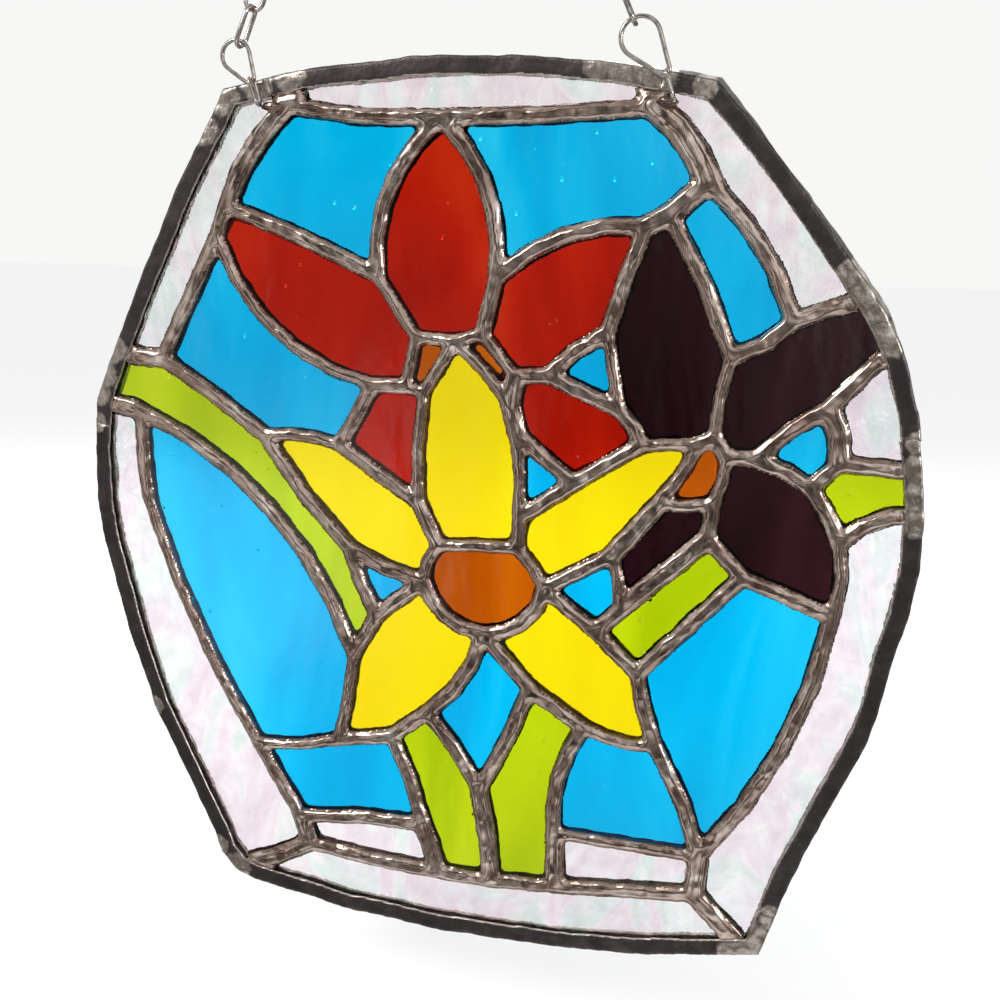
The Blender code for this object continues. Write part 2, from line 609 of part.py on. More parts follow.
def as_mesh(item, collection):
    """Replace a wire curve by its mesh, so that it can be joined to others."""
    shown = item.evaluated_get(bpy.context.evaluated_depsgraph_get())
    mesh = bpy.data.meshes.new_from_object(shown)
    work = bmesh.new()
    work.from_mesh(mesh)
    bmesh.ops.remove_doubles(work, verts=work.verts, dist=0.00001)
    bmesh.ops.recalc_face_normals(work, faces=work.faces)
    work.to_mesh(mesh)
    work.free()
    name = item.name
    bpy.data.objects.remove(item)
    return new_object(name, mesh, collection)


def add_chain(name, start, end, collection, cutters, finish):
    """A run of oblong links from one ring to another, each turned a quarter from the last."""
    way = (end - start).normalized()
    side = Vector((way.z, 0.0, -way.x))
    forward = Vector((0.0, 1.0, 0.0))
    middle = (start + end) / 2
    links = []
    for index in range(LINK_COUNT):
        centre = middle + way * (index - (LINK_COUNT - 1) / 2) * LINK_PITCH * MM
        across = forward if index % 2 == 0 else side
        length, width = LINK_LENGTH - LINK_WIRE, LINK_WIDTH - LINK_WIRE
        loop = wire_loop(f"{name}_link_{index:02d}", long_ring(centre, way, across, length, width, LINK_SIDES),
                         LINK_WIRE, collection, finish)
        links.append(as_mesh(loop, collection))
    chain = links[0]
    chain.name = name
    for link in links[1:]:
        for owner in list(link.users_collection):
            owner.objects.unlink(link)
        cutters.objects.link(link)
        link.hide_render = True
        link.display_type = "WIRE"
        joint = chain.modifiers.new(link.name, "BOOLEAN")
        joint.operation = "UNION"
        joint.solver = "EXACT"
        joint.object = link


def teardrop(centre, tip_way, width, reach):
    """Points of a loop in the panel's plane: a wide round end, and a narrow one the given way."""
    wide, narrow = (width - RING_WIRE) / 2, (RING_TIP - RING_WIRE) / 2
    lean = math.acos((wide - narrow) / reach)
    start = math.atan2(tip_way.y, tip_way.x)
    spots = [(centre, wide, start + lean + (2 * math.pi - 2 * lean) * step / 10) for step in range(11)]
    tip = centre + tip_way * reach
    spots += [(tip, narrow, start - lean + 2 * lean * step / 4) for step in range(5)]
    return [middle + Vector((math.cos(angle), math.sin(angle))) * radius for middle, radius, angle in spots]


def eye_frame(side):
    """A wire eye's middle, the way it points, and the depth at which it stands."""
    foot, way = EYES[side][:2]
    along = Vector(way).normalized()
    middle = placed(foot) + along * EYE_LENGTH / 2
    depth = -(HALF_CAME + FIT_GAP + EYE_HOLE / 2 + EYE_WIRE)
    return middle, along, depth


def ring_centre(side):
    """The middle of the wide end of the ring that hangs in a wire eye, on the panel."""
    middle, along, depth = eye_frame(side)
    tip_way = Vector(EYES[side][2]).normalized()
    hold = middle + along * (EYE_LENGTH / 2 - EYE_WIRE - FIT_GAP - RING_WIRE / 2)
    return hold - tip_way * (EYES[side][4] + (RING_TIP - RING_WIRE) / 2), depth, tip_way


def hang_point():
    """The place over the panel where the two chains bring a hook to bear."""
    run = (LINK_COUNT - 1) * LINK_PITCH + 2 * LINK_END - LINK_WIRE - 2 * FIT_GAP
    run += HOOK_RING_WIDTH / 2 - HOOK_RING_WIRE
    left, depth, tip_way = ring_centre("left")
    right = ring_centre("right")[0]
    reaches = [run + EYES[side][3] / 2 - RING_WIRE for side in ("left", "right")]
    spans = [max(reach ** 2 - depth ** 2, 1.0) for reach in reaches]
    between = right - left
    along = (spans[0] - spans[1] + between.length_squared) / (2 * between.length)
    rise = math.sqrt(max(spans[0] - along ** 2, 1.0))
    way = between.normalized()
    up = Vector((-way.y, way.x))
    return left + way * along + up * rise + Vector((0, HOOK_RING_WIDTH / 2 - HOOK_RING_WIRE))


HANG_POINT = hang_point()


def hook_centre():
    """The middle of the top ring, in metres: the origin is the inside of its top."""
    return Vector((0.0, 0.0, -(HOOK_RING_WIDTH / 2 - HOOK_RING_WIRE) * MM))


def chain_ends(side):
    """Where a chain's middle line starts and ends, in metres."""
    centre, depth, tip_way = ring_centre(side)
    low = in_world(centre, depth)
    high = hook_centre()
    way = (high - low).normalized()
    return (low + way * (EYES[side][3] / 2 - RING_WIRE) * MM,
            high - way * (HOOK_RING_WIDTH / 2 - HOOK_RING_WIRE) * MM)


def add_hangers(collection, cutters):
    """The wire eyes, the small rings, the two chains and the top ring."""
    steel = material("steel_wire", (0.72, 0.71, 0.69), 0.2, 1.0)
    forward, sideways, up = Vector((0, 1, 0)), Vector((1, 0, 0)), Vector((0, 0, 1))
    for side in EYES:
        middle, along, depth = eye_frame(side)
        long_way = Vector((along.x, 0, along.y))
        eye = long_ring(in_world(middle, depth), long_way, forward, EYE_LENGTH - EYE_WIRE,
                        EYE_HOLE + EYE_WIRE, 12)
        wire_loop("wire_eye_" + side, eye, EYE_WIRE, collection, steel)
        centre, depth, tip_way = ring_centre(side)
        ring = [in_world(spot, depth) for spot in teardrop(centre, tip_way, *EYES[side][3:])]
        wire_loop("small_ring_" + side, ring, RING_WIRE, collection, steel)
        start, end = chain_ends(side)
        add_chain("chain_" + side, start, end, collection, cutters, steel)
    width = HOOK_RING_WIDTH - HOOK_RING_WIRE
    ring = long_ring(hook_centre(), up, sideways, width, width, 20)
    wire_loop("top_ring", ring, HOOK_RING_WIRE, collection, steel)


def main():
    for item in list(bpy.data.objects):
        bpy.data.objects.remove(item)
    panel = bpy.data.collections.new("stained_glass_panel")
    cutters = bpy.data.collections.new("cutters")
    for collection in (panel, cutters):
        bpy.context.scene.collection.children.link(collection)
    faces = pane_faces()
    add_panes(faces, panel)
    add_solder(faces, panel, cutters)
    add_came(panel)
    add_hangers(panel, cutters)


main()
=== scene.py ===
import math

import bmesh
import bpy
import numpy as np
from mathutils import Matrix, Vector, noise
from mathutils.bvhtree import BVHTree


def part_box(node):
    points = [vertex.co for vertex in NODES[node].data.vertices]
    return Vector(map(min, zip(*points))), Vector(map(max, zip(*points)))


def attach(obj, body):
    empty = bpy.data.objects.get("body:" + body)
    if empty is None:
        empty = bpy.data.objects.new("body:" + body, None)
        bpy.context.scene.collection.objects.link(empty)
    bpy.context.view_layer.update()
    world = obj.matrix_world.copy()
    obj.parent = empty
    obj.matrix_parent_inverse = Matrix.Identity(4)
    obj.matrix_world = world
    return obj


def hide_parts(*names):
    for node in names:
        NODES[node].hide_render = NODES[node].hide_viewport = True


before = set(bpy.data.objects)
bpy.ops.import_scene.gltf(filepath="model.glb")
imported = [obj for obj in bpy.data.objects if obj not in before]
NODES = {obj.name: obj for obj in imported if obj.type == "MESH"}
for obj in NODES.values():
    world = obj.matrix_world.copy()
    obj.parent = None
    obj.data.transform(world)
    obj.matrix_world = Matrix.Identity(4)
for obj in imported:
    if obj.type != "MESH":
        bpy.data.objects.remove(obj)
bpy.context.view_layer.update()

MM = 0.001
# Vector noise takes its offsets from this seed, so each run gives the same shapes
noise.seed_set(1)

# Lengths are in millimetres. Where the panel's middle lies in the row frame
PANEL_X, PANEL_Z = 19.1003, -266.3135
# The glass's face and the solder solid's lower face, from the panel's middle plane
GLASS_FACE = 1.5
SOLDER_FACE = 1.8
# The beads' usual height and greatest height, and how far in from an edge they are round
BEAD_HEIGHT = 1.08
BEAD_TOP = 1.28
BEAD_ROUND = 2.3
# Half the width and height of the area that the beads' grid covers, and its mesh sizes
GRID_HALF_WIDTH, GRID_HALF_HEIGHT = 121.0, 128.0
GRID = 0.5
CAME_VOXEL = 0.42
# Smooth noise in the beads' outline and height, as (size, amount)
OUTLINE_WAVES = ((4.5, 0.34), (1.9, 0.16))
HEIGHT_WAVES = ((8.0, 0.26), (3.8, 0.09))
RIDGES = (7.0, 0.38, 0.08)
# How far along, and by how much, the came's ends are drawn together under their solder
JOIN_REACH, JOIN_RUN, JOIN_SHIFT = 8.0, 1.5, 0.8
# Half the depth that the worked came keeps to
CAME_HALF_DEPTH = 3.05
# A ray starts here, well in front of the panel
RAY_START = -20.0


# Materials
def linear(code):
    """An sRGB hex value as linear red, green and blue."""
    channels = [int(code[i:i + 2], 16) / 255 for i in (1, 3, 5)]
    return tuple(c / 12.92 if c <= 0.04045 else ((c + 0.055) / 1.055) ** 2.4 for c in channels)


def material(name):
    """A new Principled material, with its tree and its shader."""
    made = bpy.data.materials.new(name)
    made.use_nodes = True
    tree = made.node_tree
    return made, tree, tree.nodes["Principled BSDF"]


def add(tree, kind, settings=None, **inputs):
    """Add a node, set its options, and set or link its inputs by name or, as i0 or i1, by index."""
    node = tree.nodes.new(kind)
    for key, value in (settings or {}).items():
        setattr(node, key, value)
    for key, value in inputs.items():
        socket = node.inputs[int(key[1:])] if key[0] == "i" and key[1:].isdigit() else node.inputs[key]
        if isinstance(value, bpy.types.NodeSocket):
            tree.links.new(value, socket)
        else:
            socket.default_value = value
    return node


def object_coords(tree):
    return add(tree, "ShaderNodeTexCoord").outputs["Object"]


def stretched(tree, coords, scale, turn=(0.0, 0.0, 0.0)):
    """Coordinates scaled and turned, so that a pattern on them runs one way."""
    return add(tree, "ShaderNodeMapping", Vector=coords, Scale=scale, Rotation=turn).outputs["Vector"]


def noise_of(tree, coords, per_mm, detail=3.0, rough=0.55, warp=0.0):
    """Noise with a number of features to the millimetre."""
    node = add(tree, "ShaderNodeTexNoise", Vector=coords, Scale=1000.0 * per_mm, Detail=detail,
               Roughness=rough, Distortion=warp)
    return node.outputs["Fac"]


def ramp(tree, value, stops):
    """A colour ramp from (position, hex or grey number) stops."""
    node = add(tree, "ShaderNodeValToRGB", Fac=value)
    marks = node.color_ramp.elements
    while len(marks) < len(stops):
        marks.new(0.5)
    for mark, (place, tone) in zip(marks, stops):
        mark.position = place
        mark.color = (*(linear(tone) if isinstance(tone, str) else (tone,) * 3), 1.0)
    return node.outputs["Color"]


def mix(tree, factor, first, second, blend="MIX"):
    """Two colours, each a socket or a hex value, mixed or blended."""
    node = add(tree, "ShaderNodeMix", {"data_type": "RGBA", "blend_type": blend}, i0=factor)
    for index, value in ((6, first), (7, second)):
        if isinstance(value, bpy.types.NodeSocket):
            tree.links.new(value, node.inputs[index])
        else:
            node.inputs[index].default_value = (*linear(value), 1.0)
    return node.outputs[2]


def maths(tree, kind, first, second=0.0):
    return add(tree, "ShaderNodeMath", {"operation": kind}, i0=first, i1=second).outputs[0]


def bump(tree, height, distance, strength=1.0, after=None):
    """A bump of a height in mm, on top of another bump where one is given."""
    node = add(tree, "ShaderNodeBump", Height=height, Distance=distance * MM, Strength=strength)
    if after is not None:
        tree.links.new(after, node.inputs["Normal"])
    return node.outputs["Normal"]


def glass(name, deep, main, light, rough=0.02, wave=0.5, seeds=True):
    """Coloured art glass: streaks of three tones, a rolled wavy face and small seeds.

    Clear through, so what lies behind tints it; the seeds are trapped bubbles.
    """
    made, tree, shader = material(name)
    coords = object_coords(tree)
    flow = stretched(tree, coords, (1.0, 1.0, 0.35), (0.0, 0.5, 0.0))
    streaks = noise_of(tree, flow, 0.02, 5.0, 0.5, 1.2)
    colour = ramp(tree, streaks, [(0.3, deep), (0.5, main), (0.7, light)])
    tree.links.new(colour, shader.inputs["Base Color"])
    waves = noise_of(tree, flow, 0.09, 2.0)
    normal = bump(tree, waves, wave, 0.6)
    fine = noise_of(tree, coords, 0.5, 2.0)
    normal = bump(tree, fine, 0.05, 0.5, normal)
    if seeds:
        cells = add(tree, "ShaderNodeTexVoronoi", Vector=coords, Scale=130.0, Randomness=1.0)
        rise = maths(tree, "MAXIMUM", maths(tree, "SUBTRACT", 0.09, cells.outputs["Distance"]), 0.0)
        picks = maths(tree, "GREATER_THAN", cells.outputs["Color"], 0.5)
        normal = bump(tree, maths(tree, "MULTIPLY", rise, picks), 9.0, 1.0, normal)
    tree.links.new(normal, shader.inputs["Normal"])
    shader.inputs["Roughness"].default_value = rough
    shader.inputs["Transmission Weight"].default_value = 1.0
    shader.inputs["IOR"].default_value = 1.5
    return made


def clear_glass():
    """Clear glass with a faint rainbow film: pale pink, mint and ice blue streaks."""
    made, tree, shader = material("glass_iridescent_clear")
    coords = object_coords(tree)
    flow = stretched(tree, coords, (1.0, 1.0, 0.6), (0.0, 0.5, 0.0))
    first = noise_of(tree, flow, 0.03, 5.0, 0.55, 2.6)
    film = ramp(tree, first, [(0.30, "#F6FBFB"), (0.42, "#F3E3EB"), (0.50, "#FBF7F9"), (0.58, "#E4F3EE"),
                              (0.66, "#FFFFFF"), (0.74, "#EFE5F2")])
    second = noise_of(tree, coords, 0.12, 3.0, 0.6, 0.8)
    cloud = ramp(tree, second, [(0.35, "#FFFFFF"), (0.6, "#F2EFF1")])
    tree.links.new(mix(tree, 1.0, film, cloud, "MULTIPLY"), shader.inputs["Base Color"])
    waves = noise_of(tree, flow, 0.16, 4.0, 0.6, 0.6)
    normal = bump(tree, waves, 0.9, 0.7)
    tree.links.new(normal, shader.inputs["Normal"])
    shader.inputs["Roughness"].default_value = 0.03
    shader.inputs["Transmission Weight"].default_value = 1.0
    shader.inputs["IOR"].default_value = 1.5
    return made


def metal_streaks(tree, coords):
    """Fine scraped lines that run a little aslant."""
    return noise_of(tree, stretched(tree, coords, (6.0, 1.0, 0.7), (0.0, 0.6, 0.0)), 0.35, 4.0, 0.7)


def solder_finish(name, tones, rough):
    """Bright solder with random blotches of tone, painted shade that makes the low parts of the beads darker,
    and ridges that run along the beads.
    """
    made, tree, shader = material(name)
    coords = object_coords(tree)
    height = add(tree, "ShaderNodeAttribute", {"attribute_name": "rise"}).outputs["Fac"]
    run = add(tree, "ShaderNodeAttribute", {"attribute_name": "run"}).outputs["Fac"]
    blotch = noise_of(tree, coords, 0.10, 2.5, 0.5, 0.6)
    # Painted shade: the lower a bead's surface, the darker its tone; the blotches add random tone
    painted_shade_and_blotch = maths(tree, "ADD", maths(tree, "MULTIPLY", height, 0.35), maths(tree, "MULTIPLY", blotch, 0.75))
    tree.links.new(ramp(tree, painted_shade_and_blotch, tones), shader.inputs["Base Color"])
    swirl = maths(tree, "MULTIPLY", noise_of(tree, coords, 0.09, 1.5, 0.45, 0.5), 7.0)
    waves = maths(tree, "SINE", maths(tree, "ADD", maths(tree, "MULTIPLY", run, 3.3), swirl))
    dents = noise_of(tree, coords, 0.17, 1.5, 0.45, 0.5)
    normal = bump(tree, dents, 0.55, 0.5)
    normal = bump(tree, waves, 0.10, 0.7, normal)
    tree.links.new(normal, shader.inputs["Normal"])
    rough_map = ramp(tree, noise_of(tree, coords, 0.3, 3.0), [(0.35, rough), (0.7, rough + 0.16)])
    tree.links.new(rough_map, shader.inputs["Roughness"])
    shader.inputs["Metallic"].default_value = 1.0
    return made


def came_finish():
    """Dull dark lead, rubbed silvery on its arrises, with tinned patches where it was soldered; the faces
    turned to the glass take the same silvery tone as painted light.
    """
    made, tree, shader = material("lead_came_dark")
    coords = object_coords(tree)
    tin_and_painted_light = add(tree, "ShaderNodeAttribute", {"attribute_name": "tin_and_painted_light"}).outputs["Fac"]
    arris = add(tree, "ShaderNodeAttribute", {"attribute_name": "arris"}).outputs["Fac"]
    blotch = noise_of(tree, coords, 0.12, 6.0, 0.65, 0.6)
    lead = ramp(tree, blotch, [(0.3, "#443F41"), (0.5, "#504B4C"), (0.72, "#665F60")])
    scraped = metal_streaks(tree, coords)
    rubbed = maths(tree, "MULTIPLY", arris, ramp(tree, scraped, [(0.42, 0.0), (0.6, 1.0)]))
    lead = mix(tree, rubbed, lead, "#A9A29E")
    dross = noise_of(tree, coords, 0.35, 5.0, 0.7)
    silver = ramp(tree, dross, [(0.3, "#8C8178"), (0.5, "#B9B0A8"), (0.7, "#E2DDD7")])
    # The silvery tone marks real tinned patches and, on the faces turned to the glass, painted light over
    # their shade
    edge = maths(tree, "ADD", tin_and_painted_light, maths(tree, "MULTIPLY", noise_of(tree, coords, 0.5, 3.0), 0.5))
    tin_and_light_patch = ramp(tree, edge, [(0.62, 0.0), (0.78, 1.0)])
    tree.links.new(mix(tree, tin_and_light_patch, lead, silver), shader.inputs["Base Color"])
    normal = bump(tree, noise_of(tree, coords, 0.3, 4.0, 0.6), 0.35, 0.7)
    normal = bump(tree, scraped, 0.06, 0.5, normal)
    tree.links.new(normal, shader.inputs["Normal"])
    rough_map = ramp(tree, maths(tree, "ADD", tin_and_light_patch, blotch), [(0.3, 0.5), (1.3, 0.28)])
    tree.links.new(rough_map, shader.inputs["Roughness"])
    shader.inputs["Metallic"].default_value = 1.0
    return made


def wire_finish():
    """Plated steel wire: bright and smooth, a little dulled by handling."""
    made, tree, shader = material("bright_wire")
    coords = object_coords(tree)
    tone = ramp(tree, noise_of(tree, coords, 0.5, 4.0), [(0.3, "#9C958E"), (0.6, "#D9D5D0")])
    tree.links.new(tone, shader.inputs["Base Color"])
    tree.links.new(bump(tree, noise_of(tree, coords, 1.5, 3.0), 0.05, 0.4), shader.inputs["Normal"])
    shader.inputs["Roughness"].default_value = 0.2
    shader.inputs["Metallic"].default_value = 1.0
    return made


def foil_finish():
    """Tinned copper foil on the glass edges: a soft shine that takes the colour of the glass."""
    made, tree, shader = material("foil_edge")
    coords = object_coords(tree)
    tone = ramp(tree, noise_of(tree, coords, 0.4, 4.0), [(0.3, "#8F857C"), (0.7, "#CFC6BC")])
    tree.links.new(tone, shader.inputs["Base Color"])
    shader.inputs["Roughness"].default_value = 0.3
    shader.inputs["Metallic"].default_value = 1.0
    return made


GLASS = {
    "blue": glass("glass_sky_blue", "#00A2DC", "#00BBF0", "#28D0FC", wave=0.45),
    "red": glass("glass_flame_red", "#930C02", "#B81A04", "#CC3210", 0.05, wave=0.6),
    "yellow": glass("glass_lemon_yellow", "#F0D600", "#F4E000", "#F8EA14", 0.22, wave=0.4, seeds=False),
    "orange": glass("glass_amber", "#A04200", "#BE5A00", "#CF7410", 0.06, wave=0.5),
    "purple": glass("glass_deep_plum", "#18050A", "#240A12", "#371820", 0.05, wave=0.5, seeds=False),
    "green": glass("glass_lime_green", "#9DB800", "#BFD60A", "#D2E63A", 0.04, wave=0.4),
    "clear": clear_glass(),
}
# Solder tones from dark to light; the dark ones go to the beads' low parts as painted shade
SOLDER = solder_finish(
    "solder_with_painted_shade", [(0.3, "#735F56"), (0.5, "#A28C82"), (0.68, "#C6B3A9"), (0.85, "#E4D8D0")], 0.13)
CAME = came_finish()
WIRE = wire_finish()
FOIL = foil_finish()

# Every pane shows; the metal nodes carry their own metal under the worked pieces
for node_name, node in NODES.items():
    key = node_name.split("_")[0]
    node.data.materials.clear()
    node.data.materials.append(GLASS.get(key) or {"solder": SOLDER, "came": CAME}.get(key, WIRE))


# Helpers for pieces
def link(obj, finish, slot, *nodes):
    """Put a finished piece in the scene, on the root body, in place of CAD nodes."""
    bpy.context.scene.collection.objects.link(obj)
    obj.data.materials.clear()
    obj.data.materials.append(finish)
    for face in obj.data.polygons:
        face.use_smooth = True
    if nodes:
        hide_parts(*nodes)
    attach(obj, "root")
    return obj


def world_mesh(name):
    """A CAD node's welded mesh in a bmesh, in millimetres from the panel's middle."""
    node = NODES[name]
    work = bmesh.new()
    work.from_mesh(node.data)
    work.transform(node.matrix_world)
    work.transform(Matrix.Scale(1 / MM, 4))
    work.transform(Matrix.Translation((-PANEL_X, 0.0, -PANEL_Z)))
    bmesh.ops.remove_doubles(work, verts=work.verts, dist=0.01)
    return work


def to_frame(points):
    """Points in millimetres from the panel's middle, as row frame metres."""
    return (np.asarray(points, dtype=np.float64) + np.array([PANEL_X, 0.0, PANEL_Z])) * MM


def wander(points, size, seed, ways=1):
    """Smooth noise at each point: features of a size in mm, values about -1 to 1."""
    shift = Vector((seed * 17.3, seed * 5.1, seed * 9.7))
    if ways == 1:
        return np.array([noise.noise(Vector(p) / size + shift) for p in points])
    return np.array([noise.noise_vector(Vector(p) / size + shift) for p in points])


# Foil under the beads
def foil_piece():
    """The foil on the panes' edges and faces, from the pockets of the solder solid."""
    work = world_mesh("solder_lines")
    away = [f for f in work.faces if max(abs(v.co.y) for v in f.verts) > SOLDER_FACE + 0.03]
    bmesh.ops.delete(work, geom=away, context="FACES")
    for vert in work.verts:
        vert.co.y *= (GLASS_FACE + 0.03) / SOLDER_FACE
    mesh = bpy.data.meshes.new("foil_edges")
    for vert in work.verts:
        vert.co = Vector(to_frame([vert.co])[0])
    work.to_mesh(mesh)
    work.free()
    obj = link(bpy.data.objects.new("foil_edges", mesh), FOIL, "solder")
    for face in mesh.polygons:
        face.use_smooth = False
    return obj


# Solder beads
def sight_lines():
    """The edges where the beads end on the glass, as two arrays of (x, z) points, and a tree to cast at."""
    work = world_mesh("solder_lines")
    starts, ends = [], []
    for edge in work.edges:
        a, b = edge.verts[0].co, edge.verts[1].co
        if abs(a.y + SOLDER_FACE) > 0.02 or abs(b.y + SOLDER_FACE) > 0.02:
            continue
        if any(face.calc_center_median().y < -SOLDER_FACE - 0.05 for face in edge.link_faces):
            starts.append((a.x, a.z))
            ends.append((b.x, b.z))
    tree = BVHTree.FromBMesh(work)
    work.free()
    return np.array(starts), np.array(ends), tree


def line_distance(points, starts, ends):
    """Each point's distance to the nearest of the lines."""
    along = ends - starts
    length2 = (along ** 2).sum(1)
    gaps = np.empty(len(points))
    for low in range(0, len(points), 4000):
        part = points[low:low + 4000]
        away = part[:, None, :] - starts[None]
        share = np.clip((away * along[None]).sum(2) / length2[None], 0.0, 1.0)
        spot = starts[None] + along[None] * share[..., None]
        gap2 = ((part[:, None, :] - spot) ** 2).sum(2)
        gaps[low:low + 4000] = np.sqrt(gap2.min(1))
    return gaps


def bead_mask(xs, zs, tree):
    """Which grid points lie in the solder, carried on a little under the came's lip."""
    ahead = Vector((0.0, 1.0, 0.0))
    came_from, step_out, step_in = 85.0, 0.5, 2.4
    cames = []
    for name in NODES:
        if name.startswith("came_"):
            work = world_mesh(name)
            cames.append(BVHTree.FromBMesh(work))
            work.free()
    mask = np.zeros((len(xs), len(zs)), dtype=bool)
    for i, x in enumerate(xs):
        for j, z in enumerate(zs):
            if tree.ray_cast(Vector((x, RAY_START, z)), ahead)[0] is not None:
                mask[i, j] = True
                continue
            radius = math.hypot(x, z)
            if radius < came_from:
                continue
            out = 1.0 + step_out / radius
            back = 1.0 - step_in / radius
            if tree.ray_cast(Vector((x * back, RAY_START, z * back)), ahead)[0] is None:
                continue
            over = Vector((x * out, RAY_START, z * out))
            if any(came.ray_cast(over, ahead)[0] is not None for came in cames):
                mask[i, j] = True
    return mask


def blurred(field, sigma):
    """A field on the grid softened by a Gaussian, which rounds the corners of its outline."""
    reach = int(math.ceil(sigma / GRID * 2.5))
    kernel = np.exp(-0.5 * (np.arange(-reach, reach + 1) * GRID / sigma) ** 2)
    kernel /= kernel.sum()
    for axis in (0, 1):
        field = np.apply_along_axis(
            lambda row: np.convolve(np.pad(row, reach, "edge"), kernel, "valid"), axis, field)
    return field


def bead_field():
    """The grid's lines and the depth of each point inside the beads, in mm; below zero is glass."""
    starts, ends, tree = sight_lines()
    # A small shift keeps the grid off the solids' own vertices
    xs = np.arange(-GRID_HALF_WIDTH, GRID_HALF_WIDTH, GRID) + 0.017
    zs = np.arange(-GRID_HALF_HEIGHT, GRID_HALF_HEIGHT, GRID) + 0.013
    mask = bead_mask(xs, zs, tree)
    near = blurred(mask.astype(float), 2.0) > 0.002
    spots = np.argwhere(near)
    gaps = line_distance(np.stack([xs[spots[:, 0]], zs[spots[:, 1]]], axis=1), starts, ends)
    deepest = 6.0
    field = np.full(mask.shape, -deepest)
    field[near] = np.minimum(gaps, deepest)
    field[~mask] = -np.abs(field[~mask])
    return xs, zs, blurred(field, 0.75) + 0.12


def bead_sheet(name, lines, side, seed, wider):
    """One face's beads: side is -1 at the front and 1 at the back; wider moves their edges out."""
    xs, zs, field = lines
    depth_map = field + wider
    close = np.argwhere(np.abs(depth_map) < 3.0)
    flat = np.stack([xs[close[:, 0]], np.zeros(len(close)), zs[close[:, 1]]], axis=1)
    depth_map = depth_map.copy()
    (broad, broad_amount), (fine, fine_amount) = OUTLINE_WAVES
    depth_map[close[:, 0], close[:, 1]] += (
        wander(flat, broad, seed + 2) * broad_amount + wander(flat, fine, seed + 6) * fine_amount)
    mask = depth_map > 0
    cell = mask[:-1, :-1] | mask[1:, :-1] | mask[:-1, 1:] | mask[1:, 1:]
    lows = np.argwhere(cell)
    number = -np.ones(mask.shape, dtype=np.int64)
    corners = [(0, 0), (1, 0), (1, 1), (0, 1)]
    for di, dj in corners:
        number[lows[:, 0] + di, lows[:, 1] + dj] = 0
    used = np.argwhere(number == 0)
    number[used[:, 0], used[:, 1]] = np.arange(len(used))
    faces = np.stack([number[lows[:, 0] + di, lows[:, 1] + dj] for di, dj in corners], axis=1)
    slope_x, slope_z = np.gradient(depth_map, GRID)
    rows, cols = used[:, 0], used[:, 1]
    level = depth_map[rows, cols]
    slope = np.stack([slope_x[rows, cols], slope_z[rows, cols]], axis=1)
    steep = np.maximum((slope ** 2).sum(1), 0.15)
    shift = -slope * (level / steep)[:, None]
    far = np.maximum(np.linalg.norm(shift, axis=1) / (GRID * 0.9), 1.0)
    snap = (level <= 0) | (level < GRID * 0.2)
    points = np.stack([xs[rows], zs[cols]], axis=1) + shift / far[:, None] * snap[:, None]
    gaps = np.where(snap, 0.0, level)
    flat = np.stack([points[:, 0], np.zeros(len(points)), points[:, 1]], axis=1)
    reach = np.clip(gaps, 0.0, BEAD_ROUND) / BEAD_ROUND
    dome = np.sqrt(np.clip(1.0 - (1.0 - reach) ** 2, 0.0, 1.0))
    (broad, broad_amount), (fine, fine_amount) = HEIGHT_WAVES
    lumps = wander(flat, broad, seed + 3) * broad_amount + wander(flat, fine, seed + 4) * fine_amount
    ridge_size, ridge_amount, ridge_lift = RIDGES
    ridges = np.abs(wander(flat, ridge_size, seed + 5)) * ridge_amount - ridge_lift
    rise = np.clip(dome * (BEAD_HEIGHT + lumps - ridges), 0.0, BEAD_TOP)
    rise += 0.05 * (gaps > 0)
    places = flat.copy()
    places[:, 1] = side * (GLASS_FACE + np.minimum(rise, BEAD_TOP))
    work = bmesh.new()
    layer = work.verts.layers.float.new("rise")
    run_layer = work.verts.layers.float.new("run")
    verts = [work.verts.new(p) for p in to_frame(places)]
    for vert, value, run in zip(verts, rise, gaps):
        vert[layer] = float(value / 1.2)
        vert[run_layer] = float(run)
    for face in faces:
        ring = [verts[k] for k in face]
        if side > 0:
            ring.reverse()
        work.faces.new(ring)
    bmesh.ops.remove_doubles(work, verts=work.verts, dist=0.00004)
    bmesh.ops.dissolve_degenerate(work, edges=work.edges, dist=0.00001)
    rim = [edge for edge in work.edges if edge.is_boundary]
    skirt = bmesh.ops.extrude_edge_only(work, edges=rim)
    depth = side * (GLASS_FACE - 0.05) * MM
    for item in skirt["geom"]:
        if isinstance(item, bmesh.types.BMVert):
            item.co.y = depth
            item[layer] = 0.0
    mesh = bpy.data.meshes.new(name)
    work.to_mesh(mesh)
    work.free()
    return bpy.data.objects.new(name, mesh)


lines = bead_field()
link(bead_sheet("solder_beads_front", lines, -1, 3, 0.0), SOLDER, "solder", "solder_lines")
link(bead_sheet("solder_beads_back", lines, 1, 41, 0.35), SOLDER, "solder", "solder_lines")
foil_piece()


# Came
# Soldered patches on the came: middle and reach, in mm on the panel
TIN = [
    ((-82, 108), 5), ((-76, 117), 6), ((-66, 121), 6), ((-56, 123), 6), ((30, 125), 5), ((38, 124), 7),
    ((46, 122), 6), ((58, 119), 4), ((98, 72), 6), ((103, 66), 7), ((107, 57), 6), ((118, 24), 5),
    ((119, 17), 6), ((119, 10), 5), ((84, -114), 7), ((80, -119), 6), ((88, -116), 5), ((-119, 32), 5),
    ((-117, 38), 6), ((-113, 45), 5), ((-103.5, -65.8), 4), ((-76, -117), 6), ((-82, -110), 4),
    ((117, 31), 4), ((90, -107), 5), ((-120, 23), 4),
]


# Where the strips meet, and the way the came runs there
JOINS = [
    ((-62.43, 122.09), (0.982, 0.188)), ((47.4, 122.89), (0.985, -0.173)), ((117.72, 31.66), (0.153, -0.988)),
    ((90.56, -106.41), (-0.272, -0.962)), ((-120.3, 22.77), (0.094, 0.996)),
]


